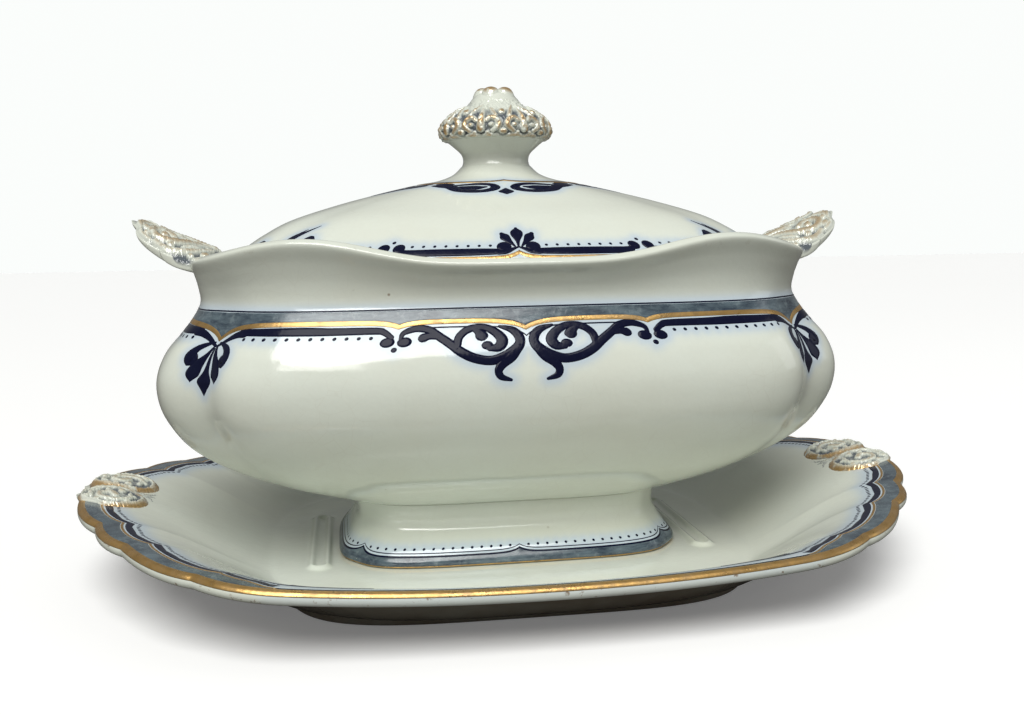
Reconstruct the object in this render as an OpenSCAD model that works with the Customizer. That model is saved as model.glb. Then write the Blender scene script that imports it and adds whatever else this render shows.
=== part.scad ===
// Covered sauce tureen (gravy boat with lid) on its own underplate.
// Origin: centre of the resting plane under the underplate's foot ring. +X runs handle to handle,
// +Z up. The underplate, the tureen and the lid are three loose fired pieces; each is luted
// together from separately moulded clay parts, and each of those parts is one node.

/* [Underplate] */
// Half length of the underplate's dish, without the handle lobes
dish_half_length = 118; // [112:1:119]
// Half depth of the underplate
dish_half_depth = 85; // [78:1:92]
// Height of the flat well floor the tureen stands on
well_floor_z = 6; // [5.5:0.5:8]
// Height of the rim at the middle of the long sides
rim_side_z = 16; // [14:0.5:19]
// Height of the rim at the ends, under the handles
rim_end_z = 25; // [22:0.5:27]
// Thickness of the dish
dish_wall = 3.4; // [3.2:0.2:4.4]
// Half length of the foot ring's outer face
ring_half_length = 63; // [58:1:66]
// Half depth of the foot ring's outer face
ring_half_depth = 60; // [54:1:62]
// Width of the foot ring's resting face
ring_face = 5; // [4:0.5:7]

/* [Tureen] */
// Half length of the bowl at its widest
bowl_half_length = 94.5; // [92:0.5:99]
// Half depth of the bowl at its widest
bowl_half_depth = 53; // [48:1:58]
// Height of the joint between foot and bowl
waist_z = 21.5; // [21:0.5:23]
// Thickness of the bowl wall
bowl_wall = 3.8; // [3.2:0.2:4.4]
// Rise and fall of the rim between its low and high points
rim_wave = 5; // [0:0.5:6]
// How deep the corners are pinched in, as a part of the bowl's half width
corner_pinch = 0.045; // [0:0.005:0.06]
// Half length of the foot where it rests
foot_half_length = 48; // [45:1:50]
// Half depth of the foot where it rests
foot_half_depth = 34; // [30:1:36]

/* [Lid] */
// Half length of the lid's edge
lid_half_length = 76; // [75:0.5:76.5]
// Half depth of the lid's edge
lid_half_depth = 42; // [41:0.5:42.5]
// Thickness of the lid
lid_wall = 3.2; // [3:0.2:3.6]
// Height of the flat seat under the knob
knob_seat_z = 113; // [112:0.5:114]
// Height of the knob above its seat
knob_height = 22.4; // [20:0.2:25]
// Largest radius of the knob
knob_radius = 16; // [15:0.2:18]

/* [Handles] */
// Half width of a tureen handle
handle_half_width = 19; // [16:1:21]
// Height of the outer edges of a tureen handle's two lobes
handle_edge_z = 91.5; // [89:0.5:94]
// How far a tureen handle bows up between its outer edges
handle_arch = 8.5; // [4:0.5:10]
// Reach of the tureen handle tips from the middle
handle_reach = 101.5; // [99:0.5:104]
// Half width of an underplate handle
lug_half_width = 24; // [20:1:28]
// Reach of the underplate handle tips from the middle
lug_reach = 120; // [117:0.5:121]

/* [Hidden] */
$fn = 64;

round_pts = 64;      // points round a bowl, foot or lid ring
seat_gap = 0.05;     // gap that keeps loose pieces from sharing a face
ledge_z = 84.5;      // ledge inside the rim that carries the lid
rim_z = 90;          // mean height of the rim
crease_width = 8;    // half width, in degrees of the ring, of a pinched corner
ring_square = 3.4;   // squareness of the bowl's plan (2 is an ellipse)
wave_shift = 10.6;   // degrees by which the rim's high points lie in front of its corners
foot_square = 4.2;   // squareness of the foot's plan
peak_sharpness = 3;  // how narrow the rim's high points are
rim_share = 0.897;   // half length of the rim as a share of the bowl's
corner_angle = 39;   // degrees from the end of a ring to its pinched corner

glaze = "#dfe3d6";
shaded_glaze = "#c9ccba";
gilt = "#b9a06a";

// ---------- plan curves ----------
function lerp(a, b, u) = a + (b - a) * u;
function crease(t) =
    let (from_end = abs((t + 90) % 180 - 90))
    exp(-pow((from_end - corner_angle) / crease_width, 2));
function plan(a, b, n, t) =
    let (q = pow(pow(abs(cos(t)), n) + pow(abs(sin(t)), n), -1 / n))
    [a * q * cos(t), b * q * sin(t)];
function wave(t) =
    let (peak = (1 - cos(4 * (t - wave_shift * sin(2 * t)))) / 2)
    0.75 * cos(2 * t) + rim_wave * (pow(peak, peak_sharpness) - 0.32);

// A station is [z, half length, half depth, squareness, pinch, wave weight]
function station_ring(s, count) =
    [for (i = [0:count - 1])
        let (t = 360 * i / count, p = plan(s[1], s[2], s[3], t), k = 1 - s[4] * crease(t))
        [p[0] * k, p[1] * k, s[0] + s[5] * wave(t)]];

// Catmull-Rom curve through a list of stations
function spline_at(p, i, u) =
    let (a = p[max(i - 1, 0)], b = p[i], c = p[i + 1], d = p[min(i + 2, len(p) - 1)])
    b + u * ((c - a) / 2 + u * (a - 2.5 * b + 2 * c - d / 2 + u * (1.5 * (b - c) + (d - a) / 2)));
function spline(p, steps) = concat(
    [for (i = [0:len(p) - 2]) for (j = [0:steps - 1]) spline_at(p, i, j / steps)],
    [p[len(p) - 1]]);

// The same stations moved inward by one wall thickness
function inward(p, wall) =
    [for (i = [0:len(p) - 1])
        let (a = p[max(i - 1, 0)], b = p[min(i + 1, len(p) - 1)],
             da = b[1] - a[1], dz = b[0] - a[0], l = sqrt(da * da + dz * dz))
        [p[i][0] + wall * da / l, p[i][1] - wall * dz / l, p[i][2] - wall * dz / l,
         p[i][3], p[i][4], p[i][5]]];
function reversed(p) = [for (i = [len(p) - 1:-1:0]) p[i]];
function mean(values) = values * [for (v = values) 1] / len(values);

// ---------- closed solids ----------
// Skin through rings of equal length, closed by a fan at either end
module ring_skin(rings) {
    n = len(rings[0]);
    m = len(rings);
    first = [for (k = [0:2]) mean([for (p = rings[0]) p[k]])];
    last = [for (k = [0:2]) mean([for (p = rings[m - 1]) p[k]])];
    points = concat([for (r = rings) for (p = r) p], [first, last]);
    walls = [for (j = [0:m - 2]) for (i = [0:n - 1])
        let (a = j * n + i, b = j * n + (i + 1) % n)
        each [[a, a + n, b], [b, a + n, b + n]]];
    floor_fan = [for (i = [0:n - 1]) [i, (i + 1) % n, m * n]];
    top_fan = [for (i = [0:n - 1]) [(m - 1) * n + (i + 1) % n, (m - 1) * n + i, m * n + 1]];
    polyhedron(points, concat(walls, floor_fan, top_fan), convexity = 8);
}

// Slab between two grids of points, upper and lower, of equal size
module grid_slab(upper, lower) {
    rows = len(upper);
    cols = len(upper[0]);
    half = rows * cols;
    cell = [for (j = [0:rows - 2]) for (i = [0:cols - 2]) j * cols + i];
    rim = concat([for (i = [0:cols - 1]) i],
                 [for (j = [1:rows - 1]) j * cols + cols - 1],
                 [for (i = [cols - 2:-1:0]) (rows - 1) * cols + i],
                 [for (j = [rows - 2:-1:1]) j * cols]);
    tops = [for (c = cell) each [[c, c + 1, c + cols], [c + 1, c + cols + 1, c + cols]]];
    bottoms = [for (f = tops) [f[0] + half, f[2] + half, f[1] + half]];
    sides = [for (i = [0:len(rim) - 1])
        let (a = rim[i], b = rim[(i + 1) % len(rim)])
        each [[a, a + half, b], [b, a + half, b + half]]];
    polyhedron(concat([for (r = upper) for (p = r) p], [for (r = lower) for (p = r) p]),
               concat(tops, bottoms, sides), convexity = 6);
}

// ---------- underplate ----------
// One quarter of the outline: corner points of the edge, with a control point for each arc
quarter_knots = [[0, 1], [0.512, 0.965], [0.676, 0.85], [0.836, 0.60], [0.915, 0.40], [1, 0]];
quarter_controls = [[0.29, 1.0], [0.609, 0.945], [0.763, 0.80], [0.894, 0.545], [0.99, 0.30]];
arc_steps = 5;
function arc_at(i, u) =
    pow(1 - u, 2) * quarter_knots[i] + 2 * u * (1 - u) * quarter_controls[i]
    + u * u * quarter_knots[i + 1];
function dish_quarter() =
    [for (i = [0:len(quarter_controls) - 1]) for (j = [0:arc_steps - 1]) arc_at(i, j / arc_steps)];
function dish_outline() =
    let (q = dish_quarter(), n = len(q))
    concat([for (i = [0:n - 1]) q[i]],
           [[1, 0]], [for (i = [n - 1:-1:1]) [q[i][0], -q[i][1]]],
           [for (i = [0:n - 1]) [-q[i][0], -q[i][1]]],
           [[-1, 0]], [for (i = [n - 1:-1:1]) [-q[i][0], q[i][1]]]);
function rim_height(x) = rim_side_z + (rim_end_z - rim_side_z) * pow(abs(x), 2.2);

well_square = 3.2;
well_margin = 4;       // how far the flat well runs beyond the foot ring
// A point of the dish: part s of the way from the well's edge to the outline, sunk by drop
function dish_point(q, s, drop, inset) =
    let (w = plan(ring_half_length + well_margin, ring_half_depth + well_margin,
                  well_square, atan2(q[1], q[0])),
         o = [q[0] * (dish_half_length - inset), q[1] * (dish_half_depth - inset)],
         rise = pow(sin(90 * s), 1.3))
    [w[0] + (o[0] - w[0]) * s, w[1] + (o[1] - w[1]) * s,
     well_floor_z + (rim_height(q[0]) - well_floor_z) * rise - drop];
function dish_ring(s, drop, inset = 0) = [for (q = reversed(dish_outline())) dish_point(q, s, drop, inset)];
function well_ring(part, drop) =
    [for (p = dish_ring(0, drop)) [p[0] * part, p[1] * part, p[2]]];

module stand_dish() {
    edge_round = dish_wall / 3;
    color(glaze)
        ring_skin(concat(
            [well_ring(0.5, dish_wall), dish_ring(0, dish_wall)],
            [for (s = [0.2, 0.4, 0.6, 0.8, 0.95]) dish_ring(s, dish_wall, edge_round)],
            [dish_ring(1, dish_wall * 0.8, edge_round * 0.4)],
            [dish_ring(1, dish_wall * 0.4)],
            [dish_ring(1, 0.1, edge_round * 0.6)],
            [for (s = [0.95, 0.8, 0.6, 0.4, 0.2]) dish_ring(s, 0, edge_round)],
            [dish_ring(0, 0), well_ring(0.5, 0)]));
}

module ring_plan(a, b) {
    polygon([for (i = [0:round_pts - 1]) plan(a, b, foot_square, 360 * i / round_pts)]);
}

module stand_foot_ring() {
    color(shaded_glaze)
        linear_extrude(well_floor_z - dish_wall)
            difference() {
                ring_plan(ring_half_length, ring_half_depth);
                ring_plan(ring_half_length - ring_face, ring_half_depth - ring_face);
            }
}

// ---------- handles ----------
lobe_rows = 9;
lobe_cols = 17;
// Outer edge of a two-lobed shell: 1 at the lobes, less at the notch and the sides
function lobe_edge(v) = 1 - 0.16 * exp(-pow(v / 0.16, 2)) - 0.62 * pow(abs(v), 3.2);

// Shell tab from the root to the tips; thick at the root, thinning to a rounded tip
function tab_grid(root_x, reach, half_width, root_z, tip_z, bow, drop) =
    [for (j = [0:lobe_rows - 1])
        [for (i = [0:lobe_cols - 1])
            let (u = j / (lobe_rows - 1), v = 2 * i / (lobe_cols - 1) - 1,
                 r = u * lobe_edge(v), curl = pow(r, 1.6))
            [root_x + (reach - root_x) * r, half_width * v * (0.92 + 0.08 * sin(180 * u)),
             root_z + (tip_z - root_z) * curl + bow * (1 - v * v) * lerp(0.15, 1, r)
             - drop * (1 - 0.55 * pow(r, 3)) * (1 - 0.25 * pow(abs(v), 6))]]];

module shell_tab(root_x, reach, half_width, root_z, tip_z, bow, thick) {
    grid_slab(tab_grid(root_x, reach, half_width, root_z, tip_z, bow, 0),
              tab_grid(root_x, reach, half_width, root_z, tip_z, bow, thick));
}

module stand_handle() {
    shell_tab(dish_half_length - 17, lug_reach, lug_half_width, rim_end_z - 1, rim_end_z + 2,
              2.5, 5);
}

module stand_handle_left() {
    color(gilt) mirror([1, 0, 0]) stand_handle();
}

module stand_handle_right() {
    color(gilt) stand_handle();
}

handle_root = rim_share * bowl_half_length - 4;
module tureen_handle() {
    shell_tab(handle_root, handle_reach, handle_half_width, rim_z - 1.5, handle_edge_z,
              handle_arch, 7);
}

module tureen_handle_left() {
    color(gilt) mirror([1, 0, 0]) tureen_handle();
}

module tureen_handle_right() {
    color(gilt) tureen_handle();
}

// ---------- tureen ----------
// Each row: height, shares of the bowl's half length and half depth, pinch of the corners
bowl_profile = [
    [waist_z, 0.455, 0.500, 0.0], [24, 0.551, 0.585, 0.0], [28, 0.697, 0.705, 0.1],
    [33, 0.825, 0.820, 0.4], [39, 0.920, 0.905, 0.8], [46, 0.975, 0.970, 1.0],
    [52, 0.998, 0.997, 1.0], [58, 0.998, 0.998, 1.0], [64, 0.972, 0.968, 0.9],
    [69, 0.928, 0.922, 0.7], [73, 0.895, 0.885, 0.4], [77, 0.874, 0.855, 0.2],
    [81, 0.877, 0.862, 0.1], [85, 0.886, 0.895, 0.0], [rim_z - 1.6, rim_share, 0.935, 0.0]];
function bowl_stations() =
    [for (s = bowl_profile)
        [s[0], s[1] * bowl_half_length, s[2] * bowl_half_depth,
         s[0] < 30 ? foot_square - (foot_square - ring_square) * (s[0] - waist_z) / (30 - waist_z)
                   : ring_square,
         s[3] * corner_pinch, s[0] < 77 ? 0 : (s[0] - 77) / (rim_z - 1.6 - 77)]];
function rim_station(z, inset, w) =
    [z, rim_share * bowl_half_length - inset, 0.935 * bowl_half_depth - inset, ring_square, 0, w];

module tureen_bowl() {
    outer = spline(bowl_stations(), 2);
    shell = inward(outer, bowl_wall);
    // inner wall, from the floor to just below the ledge
    inner = [for (s = shell) if (s[0] < 79.5 && s[1] > 0.42 * bowl_half_length) s];
    floor_ring = [inner[0][0] - 0.2, 0.2 * bowl_half_length, 0.2 * bowl_half_depth, 2.4, 0, 0];
    rim = [rim_station(rim_z, 1.2, 1), rim_station(rim_z - 0.3, 3.6, 1),
           rim_station(rim_z - 2, 5.2, 0.8),
           [ledge_z + 0.6, lid_half_length + 1.2, lid_half_depth + 1, ring_square, 0, 0.1],
           [ledge_z, lid_half_length + 0.6, lid_half_depth + 0.4, ring_square, 0, 0],
           [ledge_z, lid_half_length - 5, lid_half_depth - 5, ring_square, 0, 0],
           [ledge_z - 1.6, lid_half_length - 4.9, lid_half_depth - 4.9, ring_square, 0, 0]];
    color(glaze)
        ring_skin([for (s = concat(outer, rim, reversed(inner), [floor_ring]))
                       station_ring(s, round_pts)]);
}

module tureen_foot() {
    top_a = bowl_profile[0][1] * bowl_half_length;
    top_b = bowl_profile[0][2] * bowl_half_depth;
    rest_z = well_floor_z + seat_gap;
    foot_wall = 4.5;
    outer = [
        [rest_z, foot_half_length, foot_half_depth, foot_square, 0, 0],
        [rest_z + 2, foot_half_length - 0.6, foot_half_depth - 0.5, foot_square, 0, 0],
        [lerp(rest_z, waist_z, 0.36), lerp(foot_half_length, top_a, 0.62),
         lerp(foot_half_depth, top_b, 0.55), foot_square, 0, 0],
        [lerp(rest_z, waist_z, 0.6), top_a + 0.2, top_b + 0.7, foot_square, 0, 0],
        [lerp(rest_z, waist_z, 0.8), top_a - 0.5, top_b, foot_square, 0, 0],
        [waist_z, top_a, top_b, foot_square, 0, 0]];
    hollow = [
        [waist_z - 4, top_a - 12, top_b - 12, foot_square, 0, 0],
        [waist_z - 4, top_a - foot_wall - 1, top_b - foot_wall - 1, foot_square, 0, 0],
        [lerp(rest_z, waist_z, 0.35), top_a - foot_wall + 1.5, top_b - foot_wall + 1.5,
         foot_square, 0, 0],
        [rest_z, foot_half_length - foot_wall, foot_half_depth - foot_wall, foot_square, 0, 0]];
    color(glaze)
        ring_skin([for (s = concat(hollow, spline(outer, 2))) station_ring(s, round_pts)]);
}

// ---------- lid ----------
// Each row: height above the edge as a share of the rise, shares of half length and half depth
lid_profile = [
    [0.00, 0.992, 0.990], [0.05, 1.000, 1.000], [0.13, 0.975, 0.970], [0.23, 0.930, 0.915],
    [0.355, 0.860, 0.830], [0.49, 0.763, 0.725], [0.63, 0.600, 0.570], [0.74, 0.440, 0.450],
    [0.815, 0.315, 0.385], [0.86, 0.225, 0.335], [0.92, 0.165, 0.277], [1.00, 0.1316, 0.2381]];
function lid_stations() =
    [for (s = lid_profile)
        [lerp(ledge_z + seat_gap, knob_seat_z, s[0]), s[1] * lid_half_length,
         s[2] * lid_half_depth, lerp(2.0, ring_square, min(1, 1.6 * (1 - s[0]))),
         corner_pinch * (1 - s[0]) * 0.6, 0]];

module lid_shell() {
    outer = spline(lid_stations(), 2);
    under = inward(outer, lid_wall);
    flange_a = lid_half_length - 6.2;
    flange_b = lid_half_depth - 6.2;
    flange_z = ledge_z - 4;
    inner = [for (s = under) if (s[1] < flange_a - 3.2 && s[1] > 0.22 * lid_half_length) s];
    flange = [
        [flange_z + 4, flange_a - 3, flange_b - 3, ring_square, 0, 0],
        [flange_z, flange_a - 2.6, flange_b - 2.6, ring_square, 0, 0],
        [flange_z, flange_a - 0.4, flange_b - 0.4, ring_square, 0, 0],
        [ledge_z + seat_gap, flange_a, flange_b, ring_square, 0, 0]];
    color(glaze)
        ring_skin([for (s = concat(reversed(inner), flange, outer)) station_ring(s, round_pts)]);
}

// Knob: a waisted neck, a wide bowed head and a small crown, turned about the lid's axis.
// Each row: share of the knob's height, share of its radius
knob_profile = [
    [0.00, 0.595], [0.07, 0.585], [0.16, 0.62], [0.26, 0.76], [0.36, 0.93], [0.44, 0.99],
    [0.52, 1.00], [0.60, 0.94], [0.68, 0.80], [0.75, 0.64], [0.81, 0.50], [0.90, 0.44],
    [0.96, 0.33], [1.00, 0.12]];
module lid_knob() {
    outline = spline([for (s = knob_profile) [s[1] * knob_radius, s[0] * knob_height]], 3);
    color(glaze)
        translate([0, 0, knob_seat_z])
            rotate_extrude($fn = 96)
                polygon(concat([[0, 0]], outline, [[0, knob_height]]));
}

stand_dish();
stand_foot_ring();
stand_handle_left();
stand_handle_right();
tureen_bowl();
tureen_foot();
tureen_handle_left();
tureen_handle_right();
lid_shell();
lid_knob();
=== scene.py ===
"""Covered sauce tureen on its underplate: glazed earthenware, blue print, gilding and relief handles.

Shapes are profiles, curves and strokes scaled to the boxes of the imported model. Lengths in this
script are millimetres and are turned into metres when a mesh is made.
"""
import math

import bmesh
import bpy
import numpy as np
from mathutils import Matrix, Vector
from mathutils.kdtree import KDTree


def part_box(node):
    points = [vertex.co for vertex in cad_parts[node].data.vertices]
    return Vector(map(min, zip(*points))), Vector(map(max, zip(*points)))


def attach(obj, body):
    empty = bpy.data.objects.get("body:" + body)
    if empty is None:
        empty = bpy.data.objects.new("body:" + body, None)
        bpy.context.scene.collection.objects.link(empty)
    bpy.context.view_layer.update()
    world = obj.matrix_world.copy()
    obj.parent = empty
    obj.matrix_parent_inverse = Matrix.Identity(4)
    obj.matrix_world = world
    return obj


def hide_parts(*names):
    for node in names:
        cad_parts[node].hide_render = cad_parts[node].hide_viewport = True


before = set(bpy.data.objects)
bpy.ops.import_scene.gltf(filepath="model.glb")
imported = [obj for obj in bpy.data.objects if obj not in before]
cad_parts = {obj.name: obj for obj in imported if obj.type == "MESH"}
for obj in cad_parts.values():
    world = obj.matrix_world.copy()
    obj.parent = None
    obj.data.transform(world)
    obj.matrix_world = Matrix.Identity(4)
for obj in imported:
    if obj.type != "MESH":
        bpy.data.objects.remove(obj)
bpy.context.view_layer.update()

MM = 0.001
TAU = 2 * math.pi
FRONT = 1.5 * math.pi      # ring angle of the middle of the front
END = TAU                  # ring angle of the middle of the right end


def box_mm(node):
    """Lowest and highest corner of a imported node, in millimetres."""
    low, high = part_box(node)
    return np.array(low) / MM, np.array(high) / MM


# ---------- driving dimensions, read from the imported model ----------
bowl_low, bowl_high = box_mm("tureen_bowl")
foot_low, foot_high = box_mm("tureen_foot")
lid_low, lid_high = box_mm("lid_shell")
knob_low, knob_high = box_mm("lid_knob")
dish_high = box_mm("stand_dish")[1]
ring_high = box_mm("stand_foot_ring")[1]
handle_high = box_mm("tureen_handle_right")[1]

BOWL_A, BOWL_B, WAIST_Z = bowl_high[0], bowl_high[1], bowl_low[2]
LID_A, LID_B = lid_high[0], lid_high[1]
LEDGE_Z = lid_low[2] + 4
KNOB_SEAT_Z = knob_low[2]
CORNER_PINCH = 0.055
BOWL_WALL = 3.8
LID_WALL = 3.2
DISH_WALL = 3.4
WELL_Z = ring_high[2] + DISH_WALL
SQUARE = 3.4               # squareness of the bowl's and the lid's plan
WAVE_SHIFT = math.radians(10.6)   # high points of the rim lie this far in front of the corners
RIM_SHARE = 0.897          # half length of the rim as a share of the bowl's
RIM_DEPTH_SHARE = 0.935    # half depth of the rim as a share of the bowl's
RIM_WAVE = 5.0             # rise from the rim's low points to its high points
FOOT_SQUARE = 4.2
WELL_SQUARE = 3.2
CORNER_ANGLE = 39          # degrees from the end of a ring to its pinched corner
CREASE_WIDTH = 7.0         # degrees over which a pinched corner fades


# ---------- plan curves and swept skins ----------
def crease(t):
    """1 at a ring's four pinched corners, fading to 0 either side."""
    from_end = np.abs(np.mod(np.degrees(t) + 90, 180) - 90)
    return np.exp(-((from_end - CORNER_ANGLE) / CREASE_WIDTH) ** 2)


def plan(a, b, n, t):
    """Superellipse of half axes a and b."""
    c, s = np.cos(t), np.sin(t)
    q = (np.abs(c) ** n + np.abs(s) ** n) ** (-1 / n)
    return a * q * c, b * q * s


def wave(t):
    """Height of the rim's scalloped line round the bowl."""
    peak = (1 - np.cos(4 * (t - WAVE_SHIFT * np.sin(2 * t)))) / 2
    return 0.75 * np.cos(2 * t) + RIM_WAVE * (peak ** 3 - 0.32)


RIM_Z = bowl_high[2] - wave(np.linspace(0, TAU, 65)).max()
LIP_Z = RIM_Z - 1.6        # where the wall ends and the rolled lip begins


def catmull_rom(a, b, c, d, u):
    """Smooth curve from b (u = 0) to c (u = 1), with a before and d after them."""
    bend = a - 2.5 * b + 2 * c - d / 2 + u * (1.5 * (b - c) + (d - a) / 2)
    return b + u * ((c - a) / 2 + u * bend)


def unit(vectors):
    return vectors / np.maximum(np.linalg.norm(vectors, axis=-1, keepdims=True), 1e-12)


def run_length(points):
    """Distance along a path at each of its points."""
    return np.r_[0, np.cumsum(np.linalg.norm(np.diff(points, axis=0), axis=1))]


class Sweep:
    """Skin through plan rings. t is the angle round; v counts stations of
    [height, half length, half depth, squareness, corner pinch, rim wave]."""

    def __init__(self, stations):
        self.p = np.array(stations, float)
        self.last = len(self.p) - 1

    def station(self, v):
        p = self.p
        v = np.clip(np.asarray(v, float), 0, self.last)
        i = np.minimum(np.floor(v).astype(int), self.last - 1)
        u = (v - i)[..., None]
        a, b, c = p[np.maximum(i - 1, 0)], p[i], p[i + 1]
        d = p[np.minimum(i + 2, self.last)]
        return catmull_rom(a, b, c, d, u)

    def at(self, t, v):
        s = self.station(v)
        x, y = plan(s[..., 1], s[..., 2], s[..., 3], t)
        m = 1 - s[..., 4] * crease(t)
        return np.stack([x * m, y * m, s[..., 0] + s[..., 5] * wave(t)], -1)

    def normal(self, t, v, step=1e-3):
        round_ = self.at(t + step, v) - self.at(t - step, v)
        up = self.at(t, v + 10 * step) - self.at(t, v - 10 * step)
        return unit(np.cross(round_, up))


def inward(stations, wall):
    """The same stations moved into the clay by one wall thickness."""
    p = np.array(stations, float)
    low = p[np.maximum(np.arange(len(p)) - 1, 0)]
    high = p[np.minimum(np.arange(len(p)) + 1, len(p) - 1)]
    da, dz = high[:, 1] - low[:, 1], high[:, 0] - low[:, 0]
    size = np.hypot(da, dz)
    out = p.copy()
    out[:, 0] += wall * da / size
    out[:, 1] -= wall * dz / size
    out[:, 2] -= wall * dz / size
    return out.tolist()


# ---------- meshes ----------
def mesh_object(name, verts, faces, material, attributes=None, smooth=None):
    """Object from points in millimetres. Quads are smooth and other faces flat, unless smooth
    gives a flag for each face; then points that coincide are joined too."""
    mesh = bpy.data.meshes.new(name)
    mesh.from_pydata((np.asarray(verts) * MM).tolist(), [], [list(map(int, f)) for f in faces])
    mesh.polygons.foreach_set("use_smooth", smooth or [len(f) == 4 for f in faces])
    if smooth:
        weld(mesh)
    for key, values in (attributes or {}).items():
        layer = mesh.attributes.new(key, "FLOAT", "POINT")
        layer.data.foreach_set("value", np.asarray(values, np.float32))
    mesh.materials.append(material)
    mesh.update()
    piece = bpy.data.objects.new(name, mesh)
    bpy.context.scene.collection.objects.link(piece)
    return piece


def with_caps(values):
    """Point values of a grid, and 0 for the middle points of its two end caps."""
    return np.r_[values.ravel(), 0, 0]


def weld(mesh):
    """Join the mirrored quarters of a coat where they meet."""
    work = bmesh.new()
    work.from_mesh(mesh)
    bmesh.ops.remove_doubles(work, verts=work.verts, dist=1e-8)
    work.to_mesh(mesh)
    work.free()


def loop_faces(rows, cols, wrap=True):
    """Quads of a grid of rows of points; each row closes on itself when wrap is set."""
    r, c = np.meshgrid(np.arange(rows - 1), np.arange(cols if wrap else cols - 1), indexing="ij")
    a = r * cols + c
    b = r * cols + (c + 1) % cols
    return np.stack([a, b, b + cols, a + cols], -1).reshape(-1, 4)


def skin(rings):
    """Closed skin through rings of points, with a flat fan at both ends."""
    rows, cols = rings.shape[:2]
    verts = rings.reshape(-1, 3)
    faces = loop_faces(rows, cols).tolist()
    first, last = len(verts), len(verts) + 1
    verts = np.vstack([verts, rings[0].mean(0), rings[-1].mean(0)])
    for i in range(cols):
        j = (i + 1) % cols
        faces.append([j, i, first])
        faces.append([(rows - 1) * cols + i, (rows - 1) * cols + j, last])
    return verts, faces


def swept_rings(sweep, steps, around):
    """Rings of a sweep, with steps[i] of them from station i to the next."""
    v = np.concatenate([np.arange(i, i + 1, 1 / n) for i, n in enumerate(steps)] + [[sweep.last]])
    t = np.arange(around) * TAU / around
    return sweep.at(t[None, :], v[:, None] + 0 * t[None, :])


# ---------- flat drawing on a curved wall ----------
TRACK_SAMPLES = 600


class Track:
    """Flat millimetres on a sweep: x runs round from the middle of the front to the middle of
    the end, y runs away from the border line, down the wall (way 1) or up it (way -1)."""

    def __init__(self, sweep, v_line, v_low, v_high, way):
        self.sweep = sweep
        self.t = np.linspace(FRONT, END, TRACK_SAMPLES)
        ring = sweep.at(self.t, np.full(TRACK_SAMPLES, float(v_line)))
        self.x = run_length(ring)
        v = np.linspace(v_low, v_high, TRACK_SAMPLES)
        path = sweep.at(np.full(TRACK_SAMPLES, FRONT + 0.45), v)
        run = run_length(path)
        y = -way * (run - np.interp(v_line, v, run))
        order = np.argsort(y)
        self.y, self.v = y[order], v[order]
        self.length = self.x[-1]
        self.corner = float(np.interp(END - math.radians(CORNER_ANGLE), self.t, self.x))

    def place(self, x, y, h):
        """Point h above the wall at flat place (x, y)."""
        t = np.interp(x, self.x, self.t)
        v = np.interp(y, self.y, self.v)
        return self.sweep.at(t, v) + h[..., None] * self.sweep.normal(t, v)


def smooth_path(points, spacing=0.45):
    """Even Catmull-Rom samples through a few control points of any number of values."""
    p = np.array(points, float)
    if len(p) == 2:
        p = np.array([p[0], (p[0] + p[1]) / 2, p[1]])
    q = np.vstack([2 * p[0] - p[1], p, 2 * p[-1] - p[-2]])
    u = np.linspace(0, 1, 24, endpoint=False)[:, None]
    parts = [catmull_rom(*q[i:i + 4], u) for i in range(len(q) - 3)]
    path = np.vstack(parts + [p[-1:]])
    run = run_length(path[:, :2])
    count = max(4, int(run[-1] / spacing) + 1)
    even = np.linspace(0, run[-1], count)
    return np.stack([np.interp(even, run, path[:, k]) for k in range(p.shape[1])], -1)


DOT_POINTS = 18
BOLD = 1.25                # weight of every brush stroke
WASH_COAT, INK_COAT, GOLD_COAT = 0.035, 0.050, 0.070   # thickness of the three coats


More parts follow.
